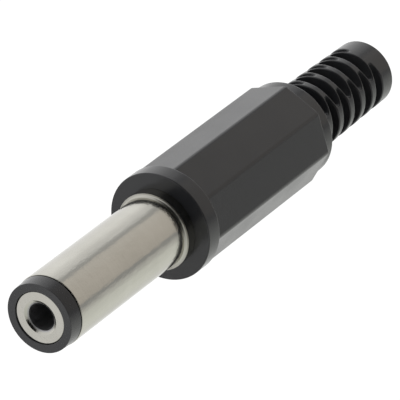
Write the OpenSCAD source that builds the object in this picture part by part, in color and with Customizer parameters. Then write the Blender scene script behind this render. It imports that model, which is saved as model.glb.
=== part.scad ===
// Barrel plug for a low-voltage power lead, lying along X with its contact end at -X.
// The origin is on the axis, where the straight barrel meets the flare of its flange.

/* [Barrel] */
// Outer diameter of the barrel
barrel_d = 5.5; // [5:0.1:5.8]
// Straight length of the barrel, from its front edge to the flare
barrel_len = 12.78; // [8:0.01:16]
// Wall of the barrel
barrel_wall = 0.3; // [0.25:0.05:0.5]
// Length of the concave flare between barrel and flange
flare_len = 0.39; // [0.35:0.01:1]
// How far the flange stands out from the barrel
flange_rise = 0.26; // [0.2:0.01:0.34]
// Width of the flat front edge of the flange
flange_edge = 0.06; // [0.03:0.01:0.12]
// Length of the flange's rim, up to the handle
flange_len = 0.91; // [0.5:0.01:2]
// Outer diameter of the thread that the handle screws on to
thread_d = 5; // [4.4:0.1:5.4]
// Length of that thread
thread_len = 8.5; // [5:0.1:9.5]
// Thickness of the flange's floor, which closes the barrel's wide bore
floor_t = 0.7; // [0.4:0.05:1.2]
// Chamfer on the sleeve's outer edges
sleeve_chamfer = 0.1; // [0.05:0.01:0.2]

/* [Tip] */
// How far the insulating lip lies inside the barrel's outer face
tip_step = 0.04; // [0.02:0.01:0.2]
// Draft of the lip, which narrows towards its front
tip_draft = 0.06; // [0.02:0.01:0.1]
// Length of the lip in front of the barrel
tip_len = 1.25; // [0.8:0.05:2]
// Rounding of the lip's front edge
tip_round = 0.1; // [0.06:0.02:0.3]
// Length of the insulator's spigot inside the barrel
spigot_len = 6; // [3:0.5:7]

/* [Contact] */
// Bore of the centre contact
contact_bore_d = 2.1; // [1.7:0.05:2.3]
// Thickness of the contact behind that bore
contact_floor = 1.1; // [0.5:0.1:3]
// Outer diameter of the contact's tube
contact_d = 2.6; // [2.5:0.05:2.9]
// Outer diameter of the contact's front ring
ring_d = 3.96; // [3.4:0.02:4.2]
// Thickness of that ring
ring_t = 0.5; // [0.3:0.05:0.8]
// How far the ring lies behind the lip's front face
ring_sink = 0.1; // [0.05:0.01:0.3]
// Diameter of the bore's countersunk mouth
mouth_d = 2.64; // [2.4:0.02:3]
// Depth of the countersink
mouth_len = 0.3; // [0.2:0.05:0.45]
// Diameter of the contact's riveted stem
stem_d = 1.8; // [1.4:0.05:2]
// Diameter of the rivet head on the stem
rivet_d = 2.5; // [2.2:0.05:2.8]
// Thickness of the rivet head
rivet_t = 0.35; // [0.2:0.05:0.6]

/* [Terminals] */
// Thickness of the terminals' sheet metal
sheet_t = 0.4; // [0.3:0.05:0.5]
// How far the sleeve terminal's washer lies inside the thread
washer_step = 0.2; // [0.1:0.05:0.4]
// Width of the sleeve terminal's lug
lug_w = 1.4; // [1:0.1:1.8]
// Length of the cable clamp
clamp_len = 2.2; // [1.5:0.1:3]
// Angle that the clamp's wings reach round the cable
clamp_angle = 210; // [150:5:260]
// Outer diameter of the centre terminal's washer
tab_washer_d = 3.1; // [2.8:0.05:3.4]
// Width of the solder tab
tab_w = 1.4; // [1:0.1:1.8]
// Length of the solder tab
tab_len = 3.2; // [2:0.1:4]
// Diameter of the wire hole in the tab
tab_hole_d = 0.8; // [0.5:0.05:0.9]

/* [Rear insulator] */
// Diameter of the bush inside the sleeve's rear end
bush_d = 3; // [2.6:0.05:3.4]
// How far the insulator's washer lies inside the sleeve terminal's
bush_washer_step = 0.2; // [0.1:0.05:0.3]
// Thickness of that washer
bush_washer_t = 0.6; // [0.4:0.05:1]

/* [Handle] */
// Outer diameter of the collar
collar_d = 8.4; // [8.1:0.05:9.5]
// Length of the collar
collar_len = 1.45; // [1:0.05:3]
// Width of the grip across its flats
grip_flats = 7.7; // [7.2:0.05:8]
// Diameter over the grip's rounded corners
grip_corners = 8.26; // [8:0.02:8.6]
// Length of the grip
grip_len = 15.37; // [13:0.01:20]
// Bevel along the grip's rear edges
grip_bevel = 0.1; // [0.05:0.05:0.3]
// Outer diameter of the round rim behind the grip
rim_d = 7.64; // [7:0.02:7.7]
// Length of that rim
rim_len = 1.03; // [0.6:0.01:2]
// Rounding of the handle's turned edges
edge_round = 0.1; // [0.05:0.05:0.3]
// Length of the cone between that room and the cable's way out
cone_len = 1.4; // [0.8:0.1:2]
// Wall behind the cone, up to the rear face of the rim
rim_wall = 0.9; // [0.5:0.1:2]

/* [Strain relief] */
// Diameter of the relief where it leaves the rim
relief_d = 5.66; // [5.3:0.02:6.2]
// Diameter of the relief at its rear end
relief_end_d = 5.2; // [5:0.02:5.6]
// Length of the relief
relief_len = 10.97; // [9:0.01:14]
// Diameter of the cable's way through the relief
cable_d = 3.6; // [3:0.1:4.2]
// Slots in each of the four columns
slot_rows = 5; // [3:1:6]
// Width of a slot at the middle of its mouth
slot_w = 1; // [0.6:0.05:1.1]
// From the axis to the floor of the first and third columns' slots
slot_core = 0.8; // [0.6:0.05:1.2]
// Angle that the slots of the first and third columns span
slot_span_narrow = 85; // [75:1:100]
// Angle that the slots of the second and fourth columns span
slot_span_wide = 140; // [110:1:144]
// From the rim to the middle of the first slot
slot_front = 1.45; // [1:0.01:2.5]
// From the middle of the last slot to the relief's rear end
slot_back = 2; // [1:0.01:3]
// Turn of the first column from the middle of the top flat
slot_turn = 35.5; // [0:0.25:90]

/* [Fits] */
// Radial play of the handle on its thread
thread_play = 0.05; // [0.02:0.01:0.1]
// Radial play between the pieces of the riveted stack
stack_play = 0.02; // [0.01:0.01:0.05]
// Radial room between the terminals and the handle
room_play = 0.2; // [0.1:0.05:0.4]
// Room between the terminals and the handle's cone
lug_gap = 0.8; // [0.3:0.1:2]
// Room between the lug and the washers inside it
lug_play = 0.05; // [0.03:0.01:0.1]

/* [Hidden] */
$fn = 96;
arc_steps = 8;
blade_steps = 4;
grip_sides = 8;
columns = 4;
cut = 1;

// Stations along X, from the tip to the rear end
barrel_x = -barrel_len;
tip_x = barrel_x - tip_len;
ring_x = tip_x + ring_sink;
seat_x = flare_len + flange_len;
sleeve_end_x = seat_x + thread_len;
shoulder_x = seat_x - floor_t;
bush_washer_x = sleeve_end_x + sheet_t;
tab_x = bush_washer_x + bush_washer_t;
rivet_x = tab_x + sheet_t;
grip_x = seat_x + collar_len;
rim_x = grip_x + grip_len;
relief_x = rim_x + rim_len;
rear_x = relief_x + relief_len;
cone_x = relief_x - rim_wall - cone_len;
lug_end_x = cone_x - lug_gap;

// Radii that more than one piece takes
barrel_bore_r = barrel_d / 2 - barrel_wall;
tip_r = barrel_d / 2 - tip_step;
bush_hole_r = bush_d / 2 + stack_play;
stem_hole_r = stem_d / 2 + stack_play;
lug_r = thread_d / 2 - washer_step;
room_r = lug_r + room_play;
flange_r = barrel_d / 2 + flange_rise;
flare_rise = flange_rise - flange_edge;
flare_r = (flare_len * flare_len + flare_rise * flare_rise) / (2 * flare_rise);
slot_pitch = (relief_len - slot_front - slot_back) / (slot_rows - 0.5);

// Points of an arc about a centre, from one angle to another
function arc(centre, r, from, to) = [
    for (i = [0 : arc_steps])
        let (a = from + (to - from) * i / arc_steps)
        centre + r * [cos(a), sin(a)]
];

// Radius of the tapering relief at a station
function relief_r(x) = (relief_d + (relief_end_d - relief_d) * (x - relief_x) / relief_len) / 2;

// Solid turned about X from points of [radius, station]
module turned(points) {
    rotate([0, 90, 0])
        rotate_extrude()
            polygon(points);
}

// Cylinder about X between two stations
module rod(d, from, to) {
    translate([from, 0, 0])
        rotate([0, 90, 0])
            cylinder(d = d, h = to - from);
}

// Sheet bent square about Y: a leg across X that starts at x, and a leg along X to end
module bent_strip(x, end, width, reach) {
    rotate([90, 0, 0])
        linear_extrude(height = width, center = true)
            polygon(concat(
                [[x, 0]],
                [[x + sheet_t, 0]],
                [[x + sheet_t, reach - sheet_t]],
                [[end, reach - sheet_t]],
                [[end, reach]],
                arc([x + sheet_t, reach - sheet_t], sheet_t, 90, 180)
            ));
}

// Plated brass turning: barrel, flared flange, thread and shoulder
module sleeve() {
    color("#b9b8b0")
        turned(concat(
            [[barrel_bore_r, barrel_x]],
            [[barrel_d / 2 - sleeve_chamfer, barrel_x]],
            [[barrel_d / 2, barrel_x + sleeve_chamfer]],
            [for (p = arc([0, barrel_d / 2 + flare_r], flare_r, -90, -90 + asin(flare_len / flare_r)))
                [p.y, p.x]],
            [[flange_r, flare_len]],
            [[flange_r, seat_x]],
            [[thread_d / 2, seat_x]],
            [[thread_d / 2, sleeve_end_x - sleeve_chamfer]],
            [[thread_d / 2 - sleeve_chamfer, sleeve_end_x]],
            [[bush_hole_r, sleeve_end_x]],
            [[bush_hole_r, shoulder_x]],
            [[barrel_bore_r, shoulder_x]]
        ));
}

// Moulded lip with a spigot that centres the contact in the barrel
module tip_insulator() {
    seat = ring_d / 2 + stack_play;
    color("#2b2b2b")
        turned(concat(
            [[contact_d / 2 + stack_play, barrel_x + spigot_len]],
            [[barrel_bore_r - stack_play, barrel_x + spigot_len]],
            [[barrel_bore_r - stack_play, barrel_x]],
            [[tip_r, barrel_x]],
            arc([tip_r - tip_draft - tip_round, tip_x + tip_round], tip_round, 0, -90),
            [[seat, tip_x]],
            [[seat, ring_x + ring_t]],
            [[contact_d / 2 + stack_play, ring_x + ring_t]]
        ));
}

// Plated brass turning: front ring, tube with its bore, and a stem with a rivet head
module centre_contact() {
    bore_end_x = shoulder_x - contact_floor;
    color("#c6c4b8")
        turned([
            [mouth_d / 2, ring_x],
            [ring_d / 2, ring_x],
            [ring_d / 2, ring_x + ring_t],
            [contact_d / 2, ring_x + ring_t],
            [contact_d / 2, shoulder_x],
            [stem_d / 2, shoulder_x],
            [stem_d / 2, rivet_x],
            [rivet_d / 2, rivet_x],
            [stem_d / 2, rivet_x + rivet_t],
            [0, rivet_x + rivet_t],
            [0, bore_end_x],
            [contact_bore_d / 2, bore_end_x],
            [contact_bore_d / 2, ring_x + mouth_len]
        ]);
}

// Moulded bush in the sleeve's rear end, with a washer that is flat over the lug
module rear_insulator() {
    washer_r = lug_r - bush_washer_step;
    flat_z = -(lug_r - sheet_t - lug_play);
    color("#33312f")
        difference() {
            union() {
                rod(bush_d, shoulder_x, tab_x);
                rod(2 * washer_r, bush_washer_x, tab_x);
            }
            rod(2 * stem_hole_r, shoulder_x - cut, tab_x + cut);
            translate([bush_washer_x, -washer_r, flat_z - washer_r])
                cube([bush_washer_t + cut, 2 * washer_r, washer_r]);
        }
}

// Stamped washer with a lug below it that ends in a clamp for the cable
module sleeve_terminal() {
    clamp_x = lug_end_x - clamp_len;
    color("#aaa79b")
        difference() {
            union() {
                rod(2 * lug_r, sleeve_end_x, bush_washer_x);
                mirror([0, 0, 1])
                    bent_strip(sleeve_end_x, lug_end_x, lug_w, lug_r);
                translate([clamp_x, 0, 0])
                    rotate([-90 - clamp_angle / 2, 0, 0])
                        rotate([0, 90, 0])
                            rotate([0, 0, 90])
                                rotate_extrude(angle = clamp_angle)
                                    translate([lug_r - sheet_t, 0])
                                        square([sheet_t, clamp_len]);
            }
            rod(2 * bush_hole_r, sleeve_end_x - cut, bush_washer_x + cut);
        }
}

// Stamped washer with a solder tab above it
module centre_terminal() {
    tab_end_x = rivet_x + tab_len;
    hole_x = tab_end_x - tab_w / 2;
    color("#b5b2a6")
        difference() {
            union() {
                rod(tab_washer_d, tab_x, rivet_x);
                bent_strip(tab_x, tab_end_x, tab_w, tab_washer_d / 2);
            }
            rod(2 * stem_hole_r, tab_x - cut, rivet_x + cut);
            translate([hole_x, 0, 0])
                cylinder(d = tab_hole_d, h = tab_washer_d);
        }
}

// Octagonal grip with rounded corners and bevelled rear edges, one flat facing down
module grip() {
    flat_r = grip_flats / 2;
    difference() {
        intersection() {
            translate([grip_x, 0, 0])
                rotate([0, 90, 0])
                    rotate([0, 0, 180 / grip_sides])
                        cylinder(r = flat_r / cos(180 / grip_sides), h = grip_len, $fn = grip_sides);
            rod(grip_corners, grip_x, rim_x);
        }
        for (side = [0 : grip_sides - 1])
            rotate([side * 360 / grip_sides, 0, 0])
                translate([rim_x - grip_bevel, 0, flat_r])
                    rotate([0, 45, 0])
                        translate([0, -flat_r, 0])
                            cube([cut, 2 * flat_r, cut]);
    }
}

// Section of a slot's cutter on one side: [height above its edge, offset], rounded towards the edge
function blade(depth, side) = [
    for (i = [0 : blade_steps])
        let (a = 90 * i / blade_steps)
        [depth * (1 - cos(a)), side * slot_w / 2 * sin(a)]
];

// Points in the opposite order, without the first of them
function back(points) = [for (i = [len(points) - 1 : -1 : 1]) points[i]];

// Cutter of a narrow slot: a small round blade sunk straight into the relief
module round_slot(x) {
    r = relief_r(x);
    half = r * sin(slot_span_narrow / 2);
    sink = r * cos(slot_span_narrow / 2) - slot_core;
    blade_r = (half * half + sink * sink) / (2 * sink);
    depth = min(r - slot_core, 0.95 * blade_r);
    section = concat(back(blade(depth, -1)), blade(depth, 1));
    translate([x, 0, slot_core + blade_r])
        turned(concat(
            [[0, -slot_w / 2]],
            [for (p = section) [blade_r - p.x, p.y]],
            [[0, slot_w / 2]]
        ));
}

// Cutter of a wide slot: a straight blade across the relief
module straight_slot(x) {
    r = relief_r(x);
    floor_r = r * cos(slot_span_wide / 2);
    top_r = r + cut;
    section = concat(back(blade(r - floor_r, -1)), blade(r - floor_r, 1));
    rotate([90, 0, 0])
        linear_extrude(height = 2 * top_r, center = true)
            polygon(concat(
                [[x - slot_w / 2, top_r]],
                [for (p = section) [x + p.y, floor_r + p.x]],
                [[x + slot_w / 2, top_r]]
            ));
}

// Four columns of slots, each half a pitch behind the last, so that the relief bends
module slots() {
    for (column = [0 : columns - 1], row = [0 : slot_rows - 1]) {
        wide = column % 2;
        x = relief_x + slot_front + (row + wide / 2) * slot_pitch;
        rotate([slot_turn + column * 360 / columns, 0, 0])
            if (wide == 1)
                straight_slot(x);
            else
                round_slot(x);
    }
}

// One moulding: collar, grip, rim and slotted relief, hollow from end to end
module handle() {
    collar_r = collar_d / 2;
    thread_hole_r = thread_d / 2 + thread_play;
    color("#3a3a3a")
        difference() {
            union() {
                turned(concat(
                    [[0, seat_x]],
                    arc([collar_r - edge_round, seat_x + edge_round], edge_round, -90, 0),
                    arc([collar_r - edge_round, grip_x - edge_round], edge_round, 0, 90),
                    [[0, grip_x]]
                ));
                grip();
                turned(concat(
                    [[0, rim_x]],
                    [[rim_d / 2, rim_x]],
                    arc([rim_d / 2 - edge_round, relief_x - edge_round], edge_round, 0, 90),
                    [[relief_d / 2, relief_x]],
                    arc([relief_end_d / 2 - edge_round, rear_x - edge_round], edge_round, 0, 90),
                    [[0, rear_x]]
                ));
            }
            turned([
                [0, seat_x - cut],
                [thread_hole_r, seat_x - cut],
                [thread_hole_r, bush_washer_x],
                [room_r, bush_washer_x],
                [room_r, cone_x],
                [cable_d / 2, cone_x + cone_len],
                [cable_d / 2, rear_x + cut],
                [0, rear_x + cut]
            ]);
            slots();
        }
}

handle();
sleeve();
tip_insulator();
centre_contact();
rear_insulator();
sleeve_terminal();
centre_terminal();
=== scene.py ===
"""Looks of a barrel plug for a power lead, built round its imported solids.

Pieces are shaped in millimetres, X from the tip to the cable end, and scaled to metres when done.
"""

from math import cos, pi, radians, sin, tan

import bmesh
import bpy
from mathutils import Matrix, Vector


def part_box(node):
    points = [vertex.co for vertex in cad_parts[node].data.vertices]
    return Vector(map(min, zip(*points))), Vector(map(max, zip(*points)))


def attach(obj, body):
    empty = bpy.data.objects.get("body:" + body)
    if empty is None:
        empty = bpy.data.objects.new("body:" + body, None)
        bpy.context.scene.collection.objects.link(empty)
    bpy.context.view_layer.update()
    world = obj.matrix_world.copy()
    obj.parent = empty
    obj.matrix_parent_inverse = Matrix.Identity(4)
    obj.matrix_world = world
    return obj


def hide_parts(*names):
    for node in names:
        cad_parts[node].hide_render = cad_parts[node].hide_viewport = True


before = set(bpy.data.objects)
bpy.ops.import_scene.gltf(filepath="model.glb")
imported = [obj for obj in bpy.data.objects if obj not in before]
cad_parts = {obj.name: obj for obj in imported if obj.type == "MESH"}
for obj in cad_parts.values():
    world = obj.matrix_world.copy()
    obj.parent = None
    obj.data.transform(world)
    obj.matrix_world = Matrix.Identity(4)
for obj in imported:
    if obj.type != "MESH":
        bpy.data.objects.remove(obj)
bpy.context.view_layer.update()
scene = bpy.context.scene
scene.view_settings.view_transform = "Standard"

MM = 0.001

# Stations along the axis, as in the part's source
TIP_X, RING_X, BARREL_X = -14.03, -13.93, -12.78
FLARE_END_X, SHOULDER_X, SEAT_X, GRIP_X = 0.39, 0.6, 1.3, 2.75
SLEEVE_END_X, BUSH_WASHER_X, RIVET_X = 9.8, 10.2, 11.2
CONE_X, CONE_END_X, RIM_X, RELIEF_X, REAR_X = 16.85, 18.25, 18.12, 19.15, 30.12

# Radii, as in the part's source
BARREL_R, BARREL_BORE_R, FLANGE_R, THREAD_R, BUSH_HOLE_R = 2.75, 2.45, 3.01, 2.5, 1.52
LIP_R, RING_R, MOUTH_R, CONTACT_R, CONTACT_BORE_R = 2.71, 1.98, 1.32, 1.3, 1.05
STEM_R, RIVET_R = 0.9, 1.25
COLLAR_R, GRIP_FLAT_R, RIM_R, ROOM_R, CABLE_R = 4.2, 3.85, 3.82, 2.5, 1.8
RELIEF_R, RELIEF_END_R = 2.83, 2.6

# Lengths and plays, as in the part's source
FLANGE_EDGE, LIP_DRAFT, SPIGOT_LEN = 0.06, 0.06, 6
CONTACT_FLOOR, RING_T, RIVET_T = 1.1, 0.5, 0.35
STACK_PLAY, THREAD_PLAY = 0.02, 0.05

# Kinds of node that come up over and over
MATH, MAP, MIX = "ShaderNodeMath", "ShaderNodeMapRange", "ShaderNodeMix"
NOISE, BUMP, SPLIT = "ShaderNodeTexNoise", "ShaderNodeBump", "ShaderNodeSeparateXYZ"

# Places of a Mix node's two numbers, of its two colours and of the colour that it gives
NUMBER_A, NUMBER_B, COLOUR_A, COLOUR_B, COLOUR_OUT = 2, 3, 6, 7, 2


def add(tree, kind, *values, named=None, **settings):
    """Adds a node with its settings. An input takes a constant, a socket or a node's first output."""
    new = tree.nodes.new(kind)
    for name, value in settings.items():
        setattr(new, name, value)
    for key, value in [*enumerate(values), *(named or {}).items()]:
        if isinstance(value, bpy.types.Node):
            value = value.outputs[0]
        if isinstance(value, bpy.types.NodeSocket):
            tree.links.new(value, new.inputs[key])
        else:
            new.inputs[key].default_value = value
    return new


def linear(code):
    """Linear colour of an sRGB hex code."""
    parts = [int(code[i : i + 2], 16) / 255 for i in (1, 3, 5)]
    return [p / 12.92 if p <= 0.04045 else ((p + 0.055) / 1.055) ** 2.4 for p in parts] + [1]


# Camera, at the photograph's angle, with a lens for a square frame

CAMERA_PLACE = Vector((-215.505, -177.003, 94.210))
CAMERA_RIGHT = Vector((0.533337, -0.806054, -0.256582))
CAMERA_UP = Vector((0.406131, -0.022081, 0.913553))

camera = bpy.data.objects.new("camera", bpy.data.cameras.new("camera"))
scene.collection.objects.link(camera)
scene.camera = camera
camera.data.sensor_width = 36
camera.data.lens = 371.8
camera.data.clip_start = 0.01
camera_axes = Matrix((CAMERA_RIGHT, CAMERA_UP, CAMERA_RIGHT.cross(CAMERA_UP))).transposed()
camera.matrix_world = Matrix.Translation(CAMERA_PLACE * MM) @ camera_axes.to_4x4()


# Studio: a light tent round the object, open at the front where the camera looks in

# Turn of the tent's front about the object's length
FRONT = radians(152)

# Tones by degrees from the front: over the top, then the front, then underneath
TENT_TONES = [
    (-180, "#f6f6f6"),
    (-104, "#f8f8f8"),
    (-66, "#dbdbdb"),
    (-52, "#acacac"),
    (-47, "#acacac"),
    (-40, "#cdc9c4"),
    (0, "#c5c0ba"),
    (38, "#beb9b3"),
    (45, "#9c9c9c"),
    (50, "#9c9c9c"),
    (58, "#bdbdba"),
    (80, "#dbddd8"),
    (110, "#e5e7e2"),
    (140, "#e5e6e3"),
    (180, "#f6f6f6"),
]

# The dark opening's middle and reach, from the front, change between two slants along the object's length
OPENING_X = 0.2, -0.7
OPENING_MIDDLE = 0, radians(-10)
OPENING_REACH = radians(46), radians(60)
OPENING_BLUR = radians(-4), radians(4)
OPENING_FADE_X = 0.69, 0.56

# A dark seam at the back, low beside the object
SEAM_TURN = radians(150), radians(160)
SEAM_X = -0.4
SEAM_HALF = 0.18, 0.24

# Share of the dark parts' depth that soft light sees, in place of stray light
STRAY_LIGHT = 0.4

# The light is stronger from the cable end than from the tip
LEVEL_X = 0.4, -0.6
LEVEL = 1.25, 1.0


def light_tent():
    """World of the tent. A ray's X is its slant along the object's length, from -1 to 1."""
    world = bpy.data.worlds.new("light tent")
    world.use_nodes = True
    tree = world.node_tree
    tree.nodes.clear()
    ray = add(tree, SPLIT, add(tree, "ShaderNodeTexCoord").outputs["Generated"])
    turn = add(tree, MATH, ray.outputs["Z"], ray.outputs["Y"], operation="ARCTAN2")
    turn = add(tree, MATH, turn, FRONT, operation="SUBTRACT")
    turn = add(tree, MATH, turn, pi, -pi, operation="WRAP")
    panels = add(tree, "ShaderNodeValToRGB", add(tree, MAP, turn, -pi, pi, 0, 1))
    panels.color_ramp.interpolation = "EASE"
    ramp = panels.color_ramp.elements
    while len(ramp) < len(TENT_TONES):
        ramp.new(0.5)
    for element, (angle, code) in zip(ramp, TENT_TONES):
        element.position = (angle + 180) / 360
        element.color = linear(code)

    middle = add(tree, MAP, ray.outputs["X"], *OPENING_X, *OPENING_MIDDLE)
    reach = add(tree, MAP, ray.outputs["X"], *OPENING_X, *OPENING_REACH)
    aside = add(tree, MATH, turn, middle, operation="SUBTRACT")
    aside = add(tree, MATH, aside, operation="ABSOLUTE")
    aside = add(tree, MATH, aside, reach, operation="SUBTRACT")
    aside = add(tree, MAP, aside, *OPENING_BLUR, 1, 0)
    ahead = add(tree, MAP, ray.outputs["X"], *OPENING_FADE_X, 0, 1)
    opening = add(tree, MATH, aside, ahead, operation="MULTIPLY")

    behind = add(tree, MATH, turn, operation="ABSOLUTE")
    behind = add(tree, MAP, behind, *SEAM_TURN, 0, 1)
    seam = add(tree, MATH, ray.outputs["X"], SEAM_X, operation="SUBTRACT")
    seam = add(tree, MATH, seam, operation="ABSOLUTE")
    seam = add(tree, MAP, seam, *SEAM_HALF, 1, 0)
    seam = add(tree, MATH, seam, behind, operation="MULTIPLY")

    # Mirror images show the dark parts at full depth, soft light less
    path = add(tree, "ShaderNodeLightPath")
    depth = add(tree, MAP, path.outputs["Is Diffuse Ray"], 0, 1, 1, STRAY_LIGHT)
    dark = add(tree, MATH, opening, seam, operation="MAXIMUM")
    dark = add(tree, MATH, dark, depth, operation="MULTIPLY")
    tones = add(tree, MIX, dark, data_type="RGBA", named={COLOUR_A: panels, COLOUR_B: linear("#1a1a1a")})
    level = add(tree, MAP, ray.outputs["X"], *LEVEL_X, *LEVEL)
    glow = add(tree, "ShaderNodeBackground", tones.outputs[COLOUR_OUT], level)

    # Straight in the picture, the tent is plain white
    plain = add(tree, "ShaderNodeBackground", linear("#ffffff"), 1.0)
    seen = add(tree, "ShaderNodeMixShader", path.outputs["Is Camera Ray"], glow, plain)
    add(tree, "ShaderNodeOutputWorld", seen)
    return world


scene.world = light_tent()


def surface(name):
    """A new material and its empty node tree."""
    material = bpy.data.materials.new(name)
    material.use_nodes = True
    material.node_tree.nodes.clear()
    return material, material.node_tree


# Share of the paper that is lit evenly, and the strength of that light
EVENED, EVEN_LIGHT = 0.93, 1.1


def white_paper():
    """White paper sweep: matt, and lit so evenly that it goes to white with only a faint shadow."""
    material, tree = surface("white paper sweep")
    path = add(tree, "ShaderNodeLightPath")
    seen, through = path.outputs["Is Camera Ray"], path.outputs["Is Transmission Ray"]
    evened = add(tree, MATH, seen, through, operation="MAXIMUM")
    evened = add(tree, MATH, evened, EVENED, operation="MULTIPLY")
    matt = add(tree, "ShaderNodeBsdfDiffuse", linear("#f4f4f2"))
    lit = add(tree, "ShaderNodeEmission", linear("#ffffff"), EVEN_LIGHT)
    sweep = add(tree, "ShaderNodeMixShader", evened, matt, lit)
    # A mirror image shows the tent's own tones underneath
    clear = add(tree, "ShaderNodeBsdfTransparent")
    sweep = add(tree, "ShaderNodeMixShader", path.outputs["Is Glossy Ray"], sweep, clear)
    add(tree, "ShaderNodeOutputMaterial", sweep)
    return material


# Floor, in metres: a wide sheet under the handle's lowest side

FLOOR_HALF = 0.6

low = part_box("handle")[0].z
sheet = bpy.data.meshes.new("floor")
sheet.from_pydata(
    [(x * FLOOR_HALF, y * FLOOR_HALF, low) for x, y in ((-1, -1), (1, -1), (1, 1), (-1, 1))],
    [],
    [(0, 1, 2, 3)],
)
sheet.materials.append(white_paper())
floor = bpy.data.objects.new("floor", sheet)
scene.collection.objects.link(floor)


# Materials

# The middle part of a noise pattern, which holds nearly all of it
NOISE_SPAN = 0.3, 0.7


def nickel_plate():
    """Nickel plate on turned brass: a satin, faintly warm mirror, with lathe rings and fine pits under it."""
    material, tree = surface("nickel plate on turned brass")
    spot = add(tree, "ShaderNodeTexCoord").outputs["Object"]
    place = add(tree, SPLIT, spot)
    across = add(tree, "ShaderNodeCombineXYZ", 0.0, place.outputs["Y"], place.outputs["Z"])
    radius = add(tree, "ShaderNodeVectorMath", across, operation="LENGTH").outputs["Value"]
    outline = add(tree, MATH, place.outputs["X"], radius)
    # Rings 0.2 mm apart: coarser than a real feed, so that they show
    coarse = {"W": outline, "Scale": 1 / (0.2 * MM), "Detail": 3.0}
    rings = add(tree, NOISE, noise_dimensions="1D", named=coarse)
    # Pits of 0.12 mm
    pits = add(tree, NOISE, spot, named={"Scale": 1 / (0.12 * MM), "Detail": 2.0})
    # Waves 0.3 mm wide and 0.9 mm long left by drawing the tube, which make a mirror image waver
    stretch = 1 / (0.9 * MM), 1 / (0.3 * MM), 1 / (0.3 * MM)
    drawn = add(tree, "ShaderNodeMapping", spot, named={"Scale": stretch})
    waves = add(tree, NOISE, drawn, named={"Scale": 1.0, "Detail": 2.0})
    # Cloudy tone over about 2 mm
    cloud = add(tree, NOISE, spot, named={"Scale": 1 / (2 * MM), "Detail": 3.0})
    tints = {COLOUR_A: linear("#bab8b0"), COLOUR_B: linear("#c8c6be")}
    tone = add(tree, MIX, cloud, data_type="RGBA", named=tints).outputs[COLOUR_OUT]
    gloss = add(tree, MAP, rings, *NOISE_SPAN, 0.11, 0.16)
    # The drilled bore is duller, where plating hardly reaches
    bored = add(tree, MAP, radius, 1.06 * MM, 1.2 * MM, 1, 0)
    gloss = add(tree, MATH, bored, 0.4, gloss, operation="MULTIPLY_ADD")
    tints = {COLOUR_A: tone, COLOUR_B: linear("#b4b4b6")}
    tone = add(tree, MIX, bored, data_type="RGBA", named=tints).outputs[COLOUR_OUT]
    # The flange's front was faced with a coarser tool than the barrel
    faced = add(tree, MAP, place.outputs["X"], 0.1 * MM, 0.25 * MM, 0, 0.2)
    front = add(tree, MAP, place.outputs["X"], 0.4 * MM, 0.41 * MM, 1, 0)
    gloss = add(tree, MATH, faced, front, gloss, operation="MULTIPLY_ADD")
    pitted = add(tree, BUMP, named={"Strength": 0.3, "Distance": 0.01 * MM, "Height": pits})
    wavy = add(tree, BUMP, named={"Strength": 0.6, "Distance": 0.02 * MM, "Height": waves, "Normal": pitted})
    worn = add(tree, BUMP, named={"Strength": 0.2, "Distance": 0.004 * MM, "Height": rings, "Normal": wavy})
    finish = {"Base Color": tone, "Metallic": 1, "Roughness": gloss, "Normal": worn}
    finish["Specular Tint"] = linear("#efefef")
    add(tree, "ShaderNodeOutputMaterial", add(tree, "ShaderNodeBsdfPrincipled", named=finish))
    return material


def moulded_abs():
    """Black moulded ABS: satin, with the grain of a spark-eroded mould and slight clouds in its gloss."""
    material, tree = surface("black moulded ABS")
    spot = add(tree, "ShaderNodeTexCoord").outputs["Object"]
    # Grain of 0.15 mm
    grain = add(tree, NOISE, spot, named={"Scale": 1 / (0.15 * MM), "Detail": 3.0})
    # Clouds of 3 mm
    cloud = add(tree, NOISE, spot, named={"Scale": 1 / (3 * MM), "Detail": 2.0})
    gloss = add(tree, MAP, cloud, *NOISE_SPAN, 0.2, 0.27)
    worn = add(tree, BUMP, named={"Strength": 0.2, "Distance": 0.006 * MM, "Height": grain})
    finish = {"Base Color": linear("#2b2c2f"), "Roughness": gloss, "IOR": 1.53, "Normal": worn}
    add(tree, "ShaderNodeOutputMaterial", add(tree, "ShaderNodeBsdfPrincipled", named=finish))
    return material


def moulded_nylon():
    """Black moulded nylon: as satin as the handle and a shade greyer, with a finer, softer grain."""
    material, tree = surface("black moulded nylon")
    spot = add(tree, "ShaderNodeTexCoord").outputs["Object"]
    # Grain of 0.1 mm
    grain = add(tree, NOISE, spot, named={"Scale": 1 / (0.1 * MM), "Detail": 2.0})
    gloss = add(tree, MAP, grain, *NOISE_SPAN, 0.22, 0.28)
    worn = add(tree, BUMP, named={"Strength": 0.15, "Distance": 0.006 * MM, "Height": grain})
    finish = {"Base Color": linear("#2e2f32"), "Roughness": gloss, "IOR": 1.58, "Normal": worn}
    add(tree, "ShaderNodeOutputMaterial", add(tree, "ShaderNodeBsdfPrincipled", named=finish))
    return material


def tinned_sheet():
    """Tinned brass sheet: a softer, duller metal than the plate, with rolling marks along the strip."""
    material, tree = surface("tinned brass sheet")
    spot = add(tree, "ShaderNodeTexCoord").outputs["Object"]
    # Rolling marks 0.1 mm wide and 2 mm long
    stretch = 1 / (2 * MM), 1 / (0.1 * MM), 1 / (0.1 * MM)
    strip = add(tree, "ShaderNodeMapping", spot, named={"Scale": stretch})
    marks = add(tree, NOISE, strip, named={"Scale": 1.0, "Detail": 3.0})
    gloss = add(tree, MAP, marks, *NOISE_SPAN, 0.26, 0.4)
    worn = add(tree, BUMP, named={"Strength": 0.2, "Distance": 0.004 * MM, "Height": marks})
    finish = {"Base Color": linear("#c3bfb4"), "Metallic": 1, "Roughness": gloss, "Normal": worn}
    add(tree, "ShaderNodeOutputMaterial", add(tree, "ShaderNodeBsdfPrincipled", named=finish))
    return material


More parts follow.
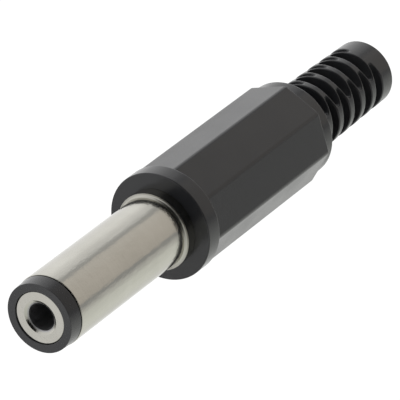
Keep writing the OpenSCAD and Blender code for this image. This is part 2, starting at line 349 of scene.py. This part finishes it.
nickel = nickel_plate()
moulding = moulded_abs()
nylon = moulded_nylon()
tinned = tinned_sheet()


# Shaping

# Points nearer than this are one point
SAME_POINT = 1e-5

# Edges that turn by more than this stay sharp
SHARP_ANGLE = radians(32)


def softened(corners, steps=6):
    """Profile points of corners (x, radius, rounding), each corner turned into an arc of its rounding."""
    points = []
    for i, (x, r, rounding) in enumerate(corners):
        here = Vector((x, r))
        if not rounding:
            points.append(here)
            continue
        before = (Vector(corners[i - 1][:2]) - here).normalized()
        after = (Vector(corners[(i + 1) % len(corners)][:2]) - here).normalized()
        half = before.angle(after) / 2
        middle = here + (before + after).normalized() * rounding / sin(half)
        start = (here + before * rounding / tan(half) - middle).normalized()
        end = (here + after * rounding / tan(half) - middle).normalized()
        points += [middle + rounding * start.slerp(end, k / steps) for k in range(steps + 1)]
    return points


def solid(name, rings, closed):
    """A piece lofted through rings of equal counts. A closed one runs from its last ring to its first."""
    mesh = bmesh.new()
    loops = [[mesh.verts.new(p) for p in ring] for ring in rings]
    count = len(rings[0])
    for a, b in zip(loops, loops[1:] + loops[:1] if closed else loops[1:]):
        for i in range(count):
            mesh.faces.new((a[i], a[(i + 1) % count], b[(i + 1) % count], b[i]))
    if not closed:
        mesh.faces.new(loops[0])
        mesh.faces.new(loops[-1])
    bmesh.ops.remove_doubles(mesh, verts=mesh.verts, dist=SAME_POINT)
    bmesh.ops.recalc_face_normals(mesh, faces=mesh.faces)
    data = bpy.data.meshes.new(name)
    mesh.to_mesh(data)
    mesh.free()
    piece = bpy.data.objects.new(name, data)
    scene.collection.objects.link(piece)
    return piece


def turned(name, corners, closed=True, sides=160):
    """A piece turned about the axis from corners (x, radius, rounding). Flat ends close an open profile."""
    rings = [
        [(p.x, p.y * cos(2 * pi * k / sides), p.y * sin(2 * pi * k / sides)) for k in range(sides)]
        for p in softened(corners)
    ]
    return solid(name, rings, closed)


def settle(piece):
    """Makes the result of a piece's modifiers its own plain mesh."""
    shaped = piece.evaluated_get(bpy.context.evaluated_depsgraph_get())
    data = bpy.data.meshes.new_from_object(shaped)
    piece.modifiers.clear()
    piece.data = data


def combine(piece, other, operation):
    """Joins another piece to this one, or cuts it out, and drops it."""
    step = piece.modifiers.new(operation, "BOOLEAN")
    step.operation = operation
    step.solver = "MANIFOLD"
    step.object = other
    settle(piece)
    bpy.data.objects.remove(other)


def node_piece(name, tree, values):
    """A piece made by a Geometry Nodes tree with its inputs set."""
    piece = bpy.data.objects.new(name, bpy.data.meshes.new(name))
    scene.collection.objects.link(piece)
    step = piece.modifiers.new(name, "NODES")
    step.node_group = tree
    for item in tree.interface.items_tree:
        if item.in_out == "INPUT" and item.name in values:
            step[item.identifier] = values[item.name]
    settle(piece)
    return piece


def done(piece, body, slot_name, material, *nodes):
    """Smooths a shaped piece, scales it to metres and puts it in the place of its solids."""
    piece.data.materials.clear()
    piece.data.materials.append(material)
    for face in piece.data.polygons:
        face.material_index = 0
    piece.data.shade_smooth()
    piece.data.set_sharp_from_angle(angle=SHARP_ANGLE)
    piece.modifiers.new("evened", "WEIGHTED_NORMAL").keep_sharp = True
    settle(piece)
    piece.data.transform(Matrix.Scale(MM, 4))
    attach(piece, body)
    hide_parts(*nodes)


# Trees for the thread and the relief. Each starts from a rod of radius 1 along Z.


def new_tree(name, sizes):
    """A Geometry Nodes tree with named sizes for inputs, and their sockets by name."""
    tree = bpy.data.node_groups.new(name, "GeometryNodeTree")
    tree.interface.new_socket("Geometry", in_out="OUTPUT", socket_type="NodeSocketGeometry")
    tree.interface.new_socket("Material", in_out="INPUT", socket_type="NodeSocketMaterial")
    for size in sizes:
        tree.interface.new_socket(size, in_out="INPUT", socket_type="NodeSocketFloat")
    return tree, add(tree, "NodeGroupInput").outputs


def end_tree(tree, size, rod, spot, along, radius):
    """Ends a tree: lays its rod along X, with each point at its own station and radius."""
    place = add(
        tree,
        "ShaderNodeCombineXYZ",
        add(tree, MATH, along, size["Start"]),
        add(tree, MATH, spot.outputs["X"], radius, operation="MULTIPLY"),
        add(tree, MATH, spot.outputs["Y"], radius, operation="MULTIPLY"),
    )
    shaped = add(tree, "GeometryNodeSetPosition", rod, named={"Position": place})
    whole = add(tree, "GeometryNodeRealizeInstances", shaped)
    coated = add(tree, "GeometryNodeSetMaterial", whole, named={"Material": size["Material"]})
    add(tree, "NodeGroupOutput", coated)


# Parts of a pitch from the middle of a thread's groove, where its flank starts and ends
FLANK = 0.08, 0.42

# Length at each end of a thread that stays plain
THREAD_END = 0.1


def screw_thread():
    """Tree of a rod whose radius follows a helix and fades out at both ends.

    It has as many rows in a pitch as sides, so the helix runs along the diagonals of its mesh.
    """
    tree, size = new_tree("screw_thread", ["Start", "Length", "Crest radius", "Depth", "Pitch", "Sides"])
    rows = add(tree, MATH, size["Length"], size["Pitch"], operation="DIVIDE")
    rows = add(tree, MATH, rows, size["Sides"], operation="MULTIPLY")
    rows = add(tree, MATH, rows, operation="ROUND")
    mesh = size["Sides"], rows, 1, 1.0, size["Length"]
    rod = add(tree, "GeometryNodeMeshCylinder", *mesh, fill_type="NGON")
    rod = add(tree, "GeometryNodeTriangulate", rod, quad_method="FIXED")
    spot = add(tree, SPLIT, add(tree, "GeometryNodeInputPosition"))
    half = add(tree, MATH, size["Length"], 0.5, operation="MULTIPLY")
    along = add(tree, MATH, spot.outputs["Z"], half)
    angle = add(tree, MATH, spot.outputs["Y"], spot.outputs["X"], operation="ARCTAN2")
    turns = add(tree, MATH, angle, 2 * pi, operation="DIVIDE")
    rise = add(tree, MATH, along, size["Pitch"], operation="DIVIDE")
    phase = add(tree, MATH, rise, turns, operation="SUBTRACT")
    tooth = add(tree, MATH, phase, 0.5, operation="PINGPONG")
    tooth = add(tree, MAP, tooth, *FLANK, 0.0, 1.0)
    ends = add(tree, MATH, spot.outputs["Z"], operation="ABSOLUTE")
    ends = add(tree, MATH, half, ends, operation="SUBTRACT")
    ends = add(tree, MAP, ends, THREAD_END, size["Pitch"], 0.0, 1.0)
    height = add(tree, MATH, tooth, ends, operation="MULTIPLY")
    height = add(tree, MATH, height, 1.0, operation="SUBTRACT")
    levels = height, size["Depth"], size["Crest radius"]
    radius = add(tree, MATH, *levels, operation="MULTIPLY_ADD")
    end_tree(tree, size, rod, spot, along, radius)
    return tree


# Rows of the relief's mesh beside a slot's middle, in pitches: where they leave the slot's floor, its wall,
# its rounded rim and its half of the rib, and where the plain rod beyond the last slot starts
FLOOR_ROWS, WALL_ROWS, RIM_ROWS, RIB_ROWS, PLAIN_ROWS = 0.08, 0.14, 0.2, 0.25, 0.6

# Sides and rows of that mesh
RELIEF_SIDES, RELIEF_ROWS = 240, 340

# Lean of a slot's wall, and the half width that its rows keep where there is no slot
SLOT_LEAN, LEAST_HALF = 0.02, 0.03

# Power of a slot's oval, and the largest share of a rib that a rounded rim takes
OVAL_POWER, RIM_SHARE = 3.0, 0.9


def slot_mouths(tree, size, angle):
    """Half widths and depths, at an angle round the relief, of the narrow and the wide set's slots."""
    halves, depths = [], []
    for column, span in ((pi / 2, size["Narrow span"]), (pi, size["Wide span"])):
        aside = add(tree, MATH, angle, size["Turn"], operation="SUBTRACT")
        aside = add(tree, MATH, aside, column, operation="SUBTRACT")
        aside = add(tree, MATH, aside, operation="SINE")
        aside = add(tree, MATH, aside, operation="ABSOLUTE")
        end = add(tree, MATH, span, 0.5, operation="MULTIPLY")
        end = add(tree, MATH, end, operation="SINE")
        aside = add(tree, MATH, aside, end, operation="DIVIDE")
        aside = add(tree, MATH, aside, OVAL_POWER, operation="POWER")
        inside = add(tree, MATH, 1.0, aside, operation="SUBTRACT")
        inside = add(tree, MATH, inside, 0.0, operation="MAXIMUM")
        depths.append(add(tree, MATH, inside, size["Depth"], operation="MULTIPLY"))
        half = add(tree, MATH, inside, operation="SQRT")
        half = add(tree, MATH, half, size["Width"], operation="MULTIPLY")
        half = add(tree, MATH, half, 0.5, operation="MULTIPLY")
        halves.append(add(tree, MATH, half, LEAST_HALF, operation="MAXIMUM"))
    return halves, depths


def slot_section(tree, size, row, half, other_half, depth):
    """Place beside a slot's middle, and drop below the relief's outside, of a row of its mesh."""
    floor_wide = add(tree, MATH, half, SLOT_LEAN, operation="SUBTRACT")
    shift = add(tree, MATH, half, other_half, operation="SUBTRACT")
    shift = add(tree, MATH, shift, 0.5, operation="MULTIPLY")
    rib_end = add(tree, MATH, size["Pitch"], RIB_ROWS, shift, operation="MULTIPLY_ADD")
    rib_wide = add(tree, MATH, rib_end, half, operation="SUBTRACT")
    easing = add(tree, MATH, rib_wide, RIM_SHARE, operation="MULTIPLY")
    easing = add(tree, MATH, easing, size["Rounding"], operation="MINIMUM")
    rib_wide = add(tree, MATH, rib_wide, easing, operation="SUBTRACT")
    plain_wide = add(tree, MATH, size["Pitch"], PLAIN_ROWS, operation="MULTIPLY")
    plain_wide = add(tree, MATH, plain_wide, rib_end, operation="SUBTRACT")

    roll = add(tree, MAP, row, WALL_ROWS, RIM_ROWS, 0.0, pi / 2)
    lean = add(tree, MATH, roll, operation="COSINE")
    lean = add(tree, MATH, 1.0, lean, operation="SUBTRACT")
    sunk = add(tree, MATH, roll, operation="SINE")
    sunk = add(tree, MATH, 1.0, sunk, operation="SUBTRACT")

    beyond = add(tree, MATH, row, PLAIN_ROWS, operation="SUBTRACT")
    beyond = add(tree, MATH, beyond, 0.0, operation="MAXIMUM")
    across = add(tree, MATH, beyond, size["Pitch"], operation="MULTIPLY")
    across = add(tree, MATH, lean, easing, across, operation="MULTIPLY_ADD")
    for start, stop, wide in (
        (0.0, FLOOR_ROWS, floor_wide),
        (FLOOR_ROWS, WALL_ROWS, SLOT_LEAN),
        (RIM_ROWS, RIB_ROWS, rib_wide),
        (RIB_ROWS, PLAIN_ROWS, plain_wide),
    ):
        stretch = add(tree, MAP, row, start, stop, 0.0, wide)
        across = add(tree, MATH, across, stretch)

    rim = add(tree, MATH, easing, depth, operation="MINIMUM")
    wall = add(tree, MATH, depth, rim, operation="SUBTRACT")
    drop = add(tree, MAP, row, FLOOR_ROWS, WALL_ROWS, wall, 0.0)
    drop = add(tree, MATH, sunk, rim, drop, operation="MULTIPLY_ADD")
    return across, drop


def end_rounding(tree, size, along, drop):
    """Adds to a drop the rounding of the relief's rear edge."""
    past = add(tree, MATH, along, size["Length"], operation="SUBTRACT")
    past = add(tree, MATH, past, size["Edge"])
    past = add(tree, MATH, past, size["Edge"], operation="DIVIDE")
    past = add(tree, MATH, past, 0.0, operation="MAXIMUM")
    past = add(tree, MATH, past, 1.0, operation="MINIMUM")
    past = add(tree, MATH, past, operation="ARCSINE")
    past = add(tree, MATH, past, operation="COSINE")
    past = add(tree, MATH, 1.0, past, operation="SUBTRACT")
    return add(tree, MATH, past, size["Edge"], drop, operation="MULTIPLY_ADD")


def slotted_relief():
    """Tree of a tapering rod with two sets of oval slots, half a pitch apart.

    The rows of its mesh follow the edge of each slot: they run over its floor, up its wall, round its rim
    and across half of the next rib.
    """
    tree, size = new_tree(
        "slotted_relief",
        ["Start", "Length", "Front radius", "End radius", "Edge", "Rows", "First", "Pitch", "Turn"]
        + ["Width", "Depth", "Narrow span", "Wide span", "Core", "Rounding"],
    )
    mesh = RELIEF_SIDES, RELIEF_ROWS, 1, 1.0, size["Length"]
    rod = add(tree, "GeometryNodeMeshCylinder", *mesh, fill_type="NGON")
    spot = add(tree, SPLIT, add(tree, "GeometryNodeInputPosition"))
    along = add(tree, MATH, size["Length"], 0.5, spot.outputs["Z"], operation="MULTIPLY_ADD")
    angle = add(tree, MATH, spot.outputs["Y"], spot.outputs["X"], operation="ARCTAN2")
    halves, depths = slot_mouths(tree, size, angle)

    # Nearest slot, counted in half pitches, and the row beside its middle
    count = add(tree, MATH, along, size["First"], operation="SUBTRACT")
    count = add(tree, MATH, count, size["Pitch"], operation="DIVIDE")
    near = add(tree, MATH, count, 2.0, operation="MULTIPLY")
    near = add(tree, MATH, near, operation="ROUND")
    near = add(tree, MATH, near, 0.0, operation="MAXIMUM")
    last = add(tree, MATH, size["Rows"], 2.0, -1.0, operation="MULTIPLY_ADD")
    near = add(tree, MATH, near, last, operation="MINIMUM")
    kind = add(tree, MATH, near, 2.0, operation="MODULO")
    half, other_half, depth = (
        add(tree, MIX, kind, data_type="FLOAT", named={NUMBER_A: even, NUMBER_B: odd})
        for even, odd in (halves, reversed(halves), depths)
    )
    middle = add(tree, MATH, near, 0.5, operation="MULTIPLY")
    row = add(tree, MATH, count, middle, operation="SUBTRACT")
    side = add(tree, MATH, row, operation="SIGN")
    row = add(tree, MATH, row, operation="ABSOLUTE")
    across, drop = slot_section(tree, size, row, half, other_half, depth)

    # Station and radius of the point
    along = add(tree, MATH, middle, size["Pitch"], size["First"], operation="MULTIPLY_ADD")
    along = add(tree, MATH, across, side, along, operation="MULTIPLY_ADD")
    taper = add(tree, MAP, along, 0.0, size["Length"], size["Front radius"], size["End radius"])
    drop = end_rounding(tree, size, along, drop)
    radius = add(tree, MATH, taper, drop, operation="SUBTRACT")
    radius = add(tree, MATH, radius, size["Core"], operation="MAXIMUM")
    end_tree(tree, size, rod, spot, along, radius)
    return tree


# Thread of the sleeve and of the hole that screws on to it

PITCH, THREAD_DEPTH = 0.75, 0.3

thread_tree = screw_thread()


# Sleeve: barrel with a filleted flange, and the thread behind it

# Roundings: turned edges, the barrel's front edge and the flange's keen one
TURNED_EDGE, BARREL_EDGE, FLANGE_KEEN = 0.05, 0.04, 0.012

# How far the core's faces lie inside the thread's, and how far the thread starts inside the flange
CORE_LAP, SEAT_LAP = 0.1, 0.05

# Ends of the hole cut in the thread, clear of both its ends
HOLE_ENDS_X = 0, 12

FILLET_R, FILLET_STEPS = FLANGE_R - FLANGE_EDGE - BARREL_R, 10
fillet = [
    (FLARE_END_X - FILLET_R * (1 - sin(a)), BARREL_R + FILLET_R * (1 - cos(a)), 0)
    for a in (pi / 2 * k / FILLET_STEPS for k in range(FILLET_STEPS + 1))
]
core_r = THREAD_R - THREAD_DEPTH - CORE_LAP
sleeve = turned(
    "sleeve_turning",
    [
        (BARREL_X, BARREL_BORE_R, TURNED_EDGE),
        (BARREL_X, BARREL_R, BARREL_EDGE),
        *fillet,
        (FLARE_END_X, FLANGE_R, FLANGE_KEEN),
        (SEAT_X, FLANGE_R, TURNED_EDGE),
        (SEAT_X, core_r, 0),
        (SLEEVE_END_X, core_r, 0),
        (SLEEVE_END_X, BUSH_HOLE_R, 0),
        (SHOULDER_X, BUSH_HOLE_R, 0),
        (SHOULDER_X, BARREL_BORE_R, 0),
    ],
)
sleeve_thread = node_piece(
    "sleeve_thread",
    thread_tree,
    {
        "Material": nickel,
        "Start": SEAT_X - SEAT_LAP,
        "Length": SLEEVE_END_X - SEAT_X,
        "Crest radius": THREAD_R,
        "Depth": THREAD_DEPTH,
        "Pitch": PITCH,
        "Sides": 48.0,
    },
)
bush_hole = turned("bush_hole", [(x, BUSH_HOLE_R + CORE_LAP, 0) for x in HOLE_ENDS_X], closed=False)
combine(sleeve_thread, bush_hole, "DIFFERENCE")
combine(sleeve, sleeve_thread, "UNION")
done(sleeve, "core", "nickel_plate", nickel, "sleeve")


# Tip: the black lip in front of the barrel, with its spigot inside

# Fine joint between the lip and the barrel, and play round the contact's ring
JOINT, RING_PLAY = 0.08, 0.04

# Roundings: the spigot's end, the lip's rear and front edges, and the edge round the ring
SPIGOT_EDGE, LIP_REAR_EDGE, LIP_EDGE, LIP_INNER_EDGE = 0.1, 0.02, 0.03, 0.05

spigot_end_x = BARREL_X + SPIGOT_LEN
ring_back_x = RING_X + RING_T
tip = turned(
    "tip_lip",
    [
        (spigot_end_x, CONTACT_R + STACK_PLAY, 0),
        (spigot_end_x, BARREL_BORE_R - STACK_PLAY, SPIGOT_EDGE),
        (BARREL_X - JOINT, BARREL_BORE_R - STACK_PLAY, 0),
        (BARREL_X - JOINT, LIP_R, LIP_REAR_EDGE),
        (TIP_X, LIP_R - LIP_DRAFT, LIP_EDGE),
        (TIP_X, RING_R + RING_PLAY, LIP_INNER_EDGE),
        (ring_back_x, RING_R + RING_PLAY, 0),
        (ring_back_x, CONTACT_R + STACK_PLAY, 0),
    ],
)
done(tip, "core", "black_insulator", nylon, "tip_insulator")


# Contact: the ring and countersunk bore in the tip, its tube and its riveted stem

# Depth of the countersink
MOUTH_DEPTH = 0.18

# Roundings: the countersink's inner and outer edges, and the rivet head's front edge and crown
MOUTH_INNER_EDGE, MOUTH_EDGE, RIVET_EDGE, RIVET_CROWN = 0.03, 0.04, 0.06, 0.2

contact = turned(
    "contact_turning",
    [
        (SHOULDER_X - CONTACT_FLOOR, 0, 0),
        (SHOULDER_X - CONTACT_FLOOR, CONTACT_BORE_R, 0),
        (RING_X + MOUTH_DEPTH, CONTACT_BORE_R, MOUTH_INNER_EDGE),
        (RING_X, MOUTH_R, MOUTH_EDGE),
        (RING_X, RING_R, TURNED_EDGE),
        (ring_back_x, RING_R, 0),
        (ring_back_x, CONTACT_R, 0),
        (SHOULDER_X, CONTACT_R, 0),
        (SHOULDER_X, STEM_R, 0),
        (RIVET_X, STEM_R, 0),
        (RIVET_X, RIVET_R, RIVET_EDGE),
        (RIVET_X + RIVET_T, STEM_R, RIVET_CROWN),
        (RIVET_X + RIVET_T, 0, 0),
    ],
    closed=False,
)
done(contact, "core", "nickel_plate", nickel, "centre_contact")


# Handle: collar, octagonal grip, rim and slotted relief in one moulding, hollow from end to end

GRIP_SIDES = 8

# Roundings: the collar's front edge, the other edges round the handle and the relief's rear edge
COLLAR_EDGE, MOULDED_EDGE, RELIEF_EDGE = 0.08, 0.15, 0.06

# How far the grip and the rim reach into the piece before them, and the relief into the rim
GRIP_LAP, RELIEF_LAP = 0.6, 0.4

# How far the hole's thread reaches out of the collar, the room into that thread, and the room past the rear
MOUTH_LAP, ROOM_LAP, REAR_CLEAR = 0.5, 0.2, 1

# Slots: rows, the middle of the first behind the rim, their pitch, and the turn of the first column
SLOT_ROWS, SLOT_FIRST, SLOT_PITCH, SLOT_TURN = 5, 1.45, 1.671, radians(35.5)

# Width of a slot, the depth that its oval would have, its rounded rim, and the angles that it spans
SLOT_W, SLOT_DEPTH, SLOT_ROUNDING = 1.0, 4.0, 0.11
SLOT_SPANS = radians(92), radians(140)

# Floor of the slots, inside the cable's way, so that they open into it
SLOT_FLOOR_R = CABLE_R - 0.3


def grip_ring(x, flat_r, rounding=0.45, steps=5):
    """Section of the grip at x: an octagon with rounded corners, as wide as twice flat_r across its flats."""
    ring = []
    turn = 2 * pi / GRIP_SIDES
    middle = (flat_r - rounding) / cos(turn / 2)
    for side in range(GRIP_SIDES):
        corner = turn / 2 + side * turn
        for k in range(steps + 1):
            a = corner + (k / steps - 0.5) * turn
            y = middle * cos(corner) + rounding * cos(a)
            z = middle * sin(corner) + rounding * sin(a)
            ring.append((x, y, z))
    return ring


handle = turned(
    "handle_moulding",
    [
        (SEAT_X, 0, 0),
        (SEAT_X, COLLAR_R, COLLAR_EDGE),
        (GRIP_X, COLLAR_R, MOULDED_EDGE),
        (GRIP_X, 0, 0),
    ],
    closed=False,
)
grip_rear = softened([(GRIP_X, GRIP_FLAT_R, 0), (RIM_X, GRIP_FLAT_R, MOULDED_EDGE), (RIM_X, 0, 0)])[1:-1]
grip = solid(
    "grip",
    [grip_ring(GRIP_X - GRIP_LAP, GRIP_FLAT_R)] + [grip_ring(p.x, p.y) for p in grip_rear],
    closed=False,
)
combine(handle, grip, "UNION")
rim = turned(
    "rim",
    [
        (RIM_X - GRIP_LAP, 0, 0),
        (RIM_X - GRIP_LAP, RIM_R, 0),
        (RELIEF_X, RIM_R, MOULDED_EDGE),
        (RELIEF_X, 0, 0),
    ],
    closed=False,
)
combine(handle, rim, "UNION")
relief = node_piece(
    "relief",
    slotted_relief(),
    {
        "Material": moulding,
        "Start": RELIEF_X - RELIEF_LAP,
        "Length": REAR_X - RELIEF_X + RELIEF_LAP,
        "Front radius": RELIEF_R,
        "End radius": RELIEF_END_R,
        "Edge": RELIEF_EDGE,
        "Rows": SLOT_ROWS,
        "First": SLOT_FIRST + RELIEF_LAP,
        "Pitch": SLOT_PITCH,
        "Turn": SLOT_TURN,
        "Width": SLOT_W,
        "Depth": SLOT_DEPTH,
        "Narrow span": SLOT_SPANS[0],
        "Wide span": SLOT_SPANS[1],
        "Core": SLOT_FLOOR_R,
        "Rounding": SLOT_ROUNDING,
    },
)
combine(handle, relief, "UNION")
hole_thread = node_piece(
    "hole_thread",
    thread_tree,
    {
        "Material": moulding,
        "Start": SEAT_X - MOUTH_LAP,
        "Length": BUSH_WASHER_X - SEAT_X + MOUTH_LAP,
        "Crest radius": THREAD_R + THREAD_PLAY + THREAD_DEPTH,
        "Depth": THREAD_DEPTH,
        "Pitch": PITCH,
        "Sides": 32.0,
    },
)
combine(handle, hole_thread, "DIFFERENCE")
room = turned(
    "room",
    [
        (BUSH_WASHER_X - ROOM_LAP, 0, 0),
        (BUSH_WASHER_X - ROOM_LAP, ROOM_R, 0),
        (CONE_X, ROOM_R, 0),
        (CONE_END_X, CABLE_R, 0),
        (REAR_X + REAR_CLEAR, CABLE_R, 0),
        (REAR_X + REAR_CLEAR, 0, 0),
    ],
    closed=False,
)
combine(handle, room, "DIFFERENCE")
done(handle, "handle", "black_moulding", moulding, "handle")


# Solids that keep their shape

for name, material in (
    ("rear_insulator", nylon),
    ("sleeve_terminal", tinned),
    ("centre_terminal", tinned),
):
    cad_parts[name].data.materials.clear()
    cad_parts[name].data.materials.append(material)
